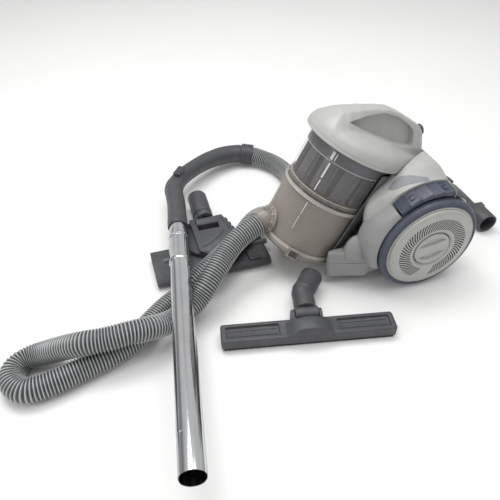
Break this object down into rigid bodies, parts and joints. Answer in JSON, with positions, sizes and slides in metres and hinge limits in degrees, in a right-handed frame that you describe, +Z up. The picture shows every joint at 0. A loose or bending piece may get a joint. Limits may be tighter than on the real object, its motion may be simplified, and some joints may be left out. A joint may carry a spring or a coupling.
{
  "type": "canister vacuum cleaner",
  "caption": "Bagless canister vacuum cleaner with a clear dust bin, carry handle, ribbed hose, grip, wand and loose floor tools.",
  "frame": {"origin": "middle of the floor area covered by the vacuum, its wand and its tools, without the hose", "axes": "+Z up from the floor, -Y the front of the vacuum, +X its left side"},
  "size_m": [0.7576, 0.9102, 0.2837],
  "materials": {
    "shell": "satin moulded",
    "inner_shell": "fine texture",
    "slate": "satin",
    "tyre": "matte",
    "clear_smoke": "clear, smoked",
    "shroud": "satin",
    "dark_plastic": "fine texture",
    "bristle": "brush pile",
    "hose_grey": "ribbed, semi gloss",
    "chrome": "polished",
    "steel": "brushed",
    "filter": "pleated fleece",
    "gasket": "matte",
    "seal": "matte"
  },
  "bodies": {
    "root": {"lower_chassis": "shell", "upper_body": "shell", "left_fender": "shell", "right_fender": "shell", "bin_cradle": "inner_shell", "motor_can": "steel", "fan_housing": "inner_shell", "motor_seals": "seal", "inlet_duct": "inner_shell", "reel_bracket": "inner_shell", "cord_outlet": "dark_plastic", "chassis_screws": "steel", "left_hub_drum": "shell", "right_hub_drum": "shell", "left_exhaust_filter": "filter", "right_exhaust_filter": "filter", "hose": "hose_grey", "grip": "dark_plastic", "grip_spigot": "dark_plastic"},
    "fan_rotor": {"fan_rotor": "steel"},
    "cord_reel": {"cord_reel": "dark_plastic"},
    "left_exhaust_cover": {"left_exhaust_cover": "shell"},
    "right_exhaust_cover": {"right_exhaust_cover": "shell"},
    "left_wheel": {"left_wheel_rim": "shell", "left_tyre": "tyre"},
    "right_wheel": {"right_wheel_rim": "shell", "right_tyre": "tyre"},
    "left_pedal": {"left_pedal": "slate"},
    "right_pedal": {"right_pedal": "slate"},
    "left_caster": {"left_caster_yoke": "dark_plastic"},
    "right_caster": {"right_caster_yoke": "dark_plastic"},
    "left_caster_wheel": {"left_caster_wheel": "tyre"},
    "right_caster_wheel": {"right_caster_wheel": "tyre"},
    "dust_bin": {"bin_tube": "clear_smoke", "bin_port": "clear_smoke", "bin_mid_ring": "shell", "door_latch": "clear_smoke", "cyclone_cones": "slate", "cyclone_shroud": "shroud", "premotor_filter": "filter", "lid_gasket": "gasket"},
    "bin_door": {"bin_door": "clear_smoke"},
    "bin_lid": {"bin_lid": "shell"},
    "lid_button": {"lid_button": "slate"},
    "hose_bin_cuff": {"hose_bin_cuff": "clear_smoke"},
    "hose_grip_cuff": {"hose_grip_cuff": "dark_plastic"},
    "bleed_slider": {"bleed_slider": "dark_plastic"},
    "wand": {"wand": "chrome", "wand_sleeve": "chrome"},
    "floor_tool": {"floor_tool": "dark_plastic", "floor_tool_brush": "bristle"},
    "floor_tool_neck": {"floor_tool_neck": "dark_plastic"},
    "floor_head": {"head_base": "dark_plastic", "head_cover": "dark_plastic"},
    "head_brush": {"head_brush": "bristle"},
    "head_pedal": {"head_pedal": "dark_plastic"},
    "head_neck": {"head_neck": "dark_plastic"},
    "head_rollers": {"head_rollers": "tyre"},
    "crevice_tool": {"crevice_tool": "dark_plastic"}
  },
  "joints": [
    {"name": "fan_spin", "type": "hinge", "parent": "root", "child": "fan_rotor", "pos_m": [-0.02843, 0.13655, 0.084], "axis": [1, 0, 0], "continuous": true},
    {"name": "reel_spin", "type": "hinge", "parent": "root", "child": "cord_reel", "pos_m": [0.05557, 0.13455, 0.104], "axis": [1, 0, 0], "continuous": true},
    {"name": "left_cover_twist", "type": "hinge", "parent": "root", "child": "left_exhaust_cover", "pos_m": [0.11457, 0.12255, 0.0877], "axis": [1, 0, 0], "range_deg": [0, 30]},
    {"name": "right_cover_twist", "type": "hinge", "parent": "root", "child": "right_exhaust_cover", "pos_m": [-0.17143, 0.12255, 0.0877], "axis": [1, 0, 0], "range_deg": [0, 30]},
    {"name": "left_wheel_roll", "type": "hinge", "parent": "root", "child": "left_wheel", "pos_m": [0.09757, 0.12255, 0.0877], "axis": [1, 0, 0], "continuous": true},
    {"name": "right_wheel_roll", "type": "hinge", "parent": "root", "child": "right_wheel", "pos_m": [-0.15443, 0.12255, 0.0877], "axis": [1, 0, 0], "continuous": true},
    {"name": "left_pedal_press", "type": "hinge", "parent": "root", "child": "left_pedal", "pos_m": [0.08757, 0.06283, 0.16414], "axis": [-1, 0, 0], "range_deg": [0, 2.5], "stiffness_Nm_per_rad": 3, "springref_deg": -4.58},
    {"name": "left_caster_swivel", "type": "hinge", "parent": "root", "child": "left_caster", "pos_m": [0.05357, 0.01855, 0.03], "axis": [0, 0, 1], "continuous": true},
    {"name": "left_caster_roll", "type": "hinge", "parent": "left_caster", "child": "left_caster_wheel", "pos_m": [0.05357, 0.02355, 0.011], "axis": [1, 0, 0], "continuous": true},
    {"name": "right_pedal_press", "type": "hinge", "parent": "root", "child": "right_pedal", "pos_m": [-0.14443, 0.06283, 0.16414], "axis": [-1, 0, 0], "range_deg": [0, 2.5], "stiffness_Nm_per_rad": 3, "springref_deg": -4.58},
    {"name": "right_caster_swivel", "type": "hinge", "parent": "root", "child": "right_caster", "pos_m": [-0.11043, 0.01855, 0.03], "axis": [0, 0, 1], "continuous": true},
    {"name": "right_caster_roll", "type": "hinge", "parent": "right_caster", "child": "right_caster_wheel", "pos_m": [-0.11043, 0.02355, 0.011], "axis": [1, 0, 0], "continuous": true},
    {"name": "bin_lift", "type": "slide", "parent": "root", "child": "dust_bin", "axis": [0, 0.4493, 0.8934], "range_m": [0, 0.06]},
    {"name": "door_open", "type": "hinge", "parent": "dust_bin", "child": "bin_door", "pos_m": [-0.02843, 0.01406, 0.01247], "axis": [1, 0, 0], "range_deg": [0, 7]},
    {"name": "lid_lift", "type": "slide", "parent": "dust_bin", "child": "bin_lid", "axis": [0, 0.4493, 0.8934], "range_m": [0, 0.06]},
    {"name": "button_press", "type": "slide", "parent": "bin_lid", "child": "lid_button", "axis": [0, -0.9494, -0.314], "range_m": [0, 0.003], "stiffness_N_per_m": 400, "springref_m": -0.002},
    {"name": "bin_cuff_swivel", "type": "hinge", "parent": "root", "child": "hose_bin_cuff", "pos_m": [-0.02287, -0.12796, 0.09572], "axis": [0.4198, -0.8696, -0.2599], "continuous": true},
    {"name": "grip_cuff_swivel", "type": "hinge", "parent": "root", "child": "hose_grip_cuff", "pos_m": [-0.35292, -0.04722, 0.02525], "axis": [-0.4224, -0.905, 0.0503], "continuous": true},
    {"name": "bleed_slide", "type": "slide", "parent": "root", "child": "bleed_slider", "axis": [0.7986, -0.6018, 0], "range_m": [-0.005, 0.005]},
    {"name": "wand_pull", "type": "slide", "parent": "root", "child": "wand", "axis": [0.9794, -0.155, 0.1295], "range_m": [0, 0.05]},
    {"name": "floor_tool_away", "type": "slide", "parent": "root", "child": "floor_tool", "axis": [1, 0, 0], "range_m": [0, 0.05]},
    {"name": "floor_tool_tilt", "type": "hinge", "parent": "floor_tool", "child": "floor_tool_neck", "pos_m": [0.13454, -0.10021, 0.024], "axis": [0.1977, 0.9803, 0], "range_deg": [0, 78]},
    {"name": "floor_head_away", "type": "slide", "parent": "root", "child": "floor_head", "axis": [-1, 0, 0], "range_m": [0, 0.004]},
    {"name": "head_tilt", "type": "hinge", "parent": "floor_head", "child": "head_neck", "pos_m": [-0.13043, -0.19745, 0.025], "axis": [0, 1, 0], "range_deg": [0, 50]},
    {"name": "head_pedal_press", "type": "slide", "parent": "floor_head", "child": "head_pedal", "axis": [0, 0, -1], "range_m": [0, 0.003]},
    {"name": "brush_drop", "type": "slide", "parent": "floor_head", "child": "head_brush", "axis": [0, 0, -1], "range_m": [0, 0.0024]},
    {"name": "roller_roll", "type": "hinge", "parent": "floor_head", "child": "head_rollers", "pos_m": [-0.08243, -0.21045, 0.0055], "axis": [0, 1, 0], "continuous": true},
    {"name": "crevice_tool_lift", "type": "slide", "parent": "root", "child": "crevice_tool", "axis": [0, 0, 1], "range_m": [0, 0.05]}
  ],
  "couplings": [
    {"joint": "brush_drop", "follows": "head_pedal_press", "ratio": 0.8}
  ]
}
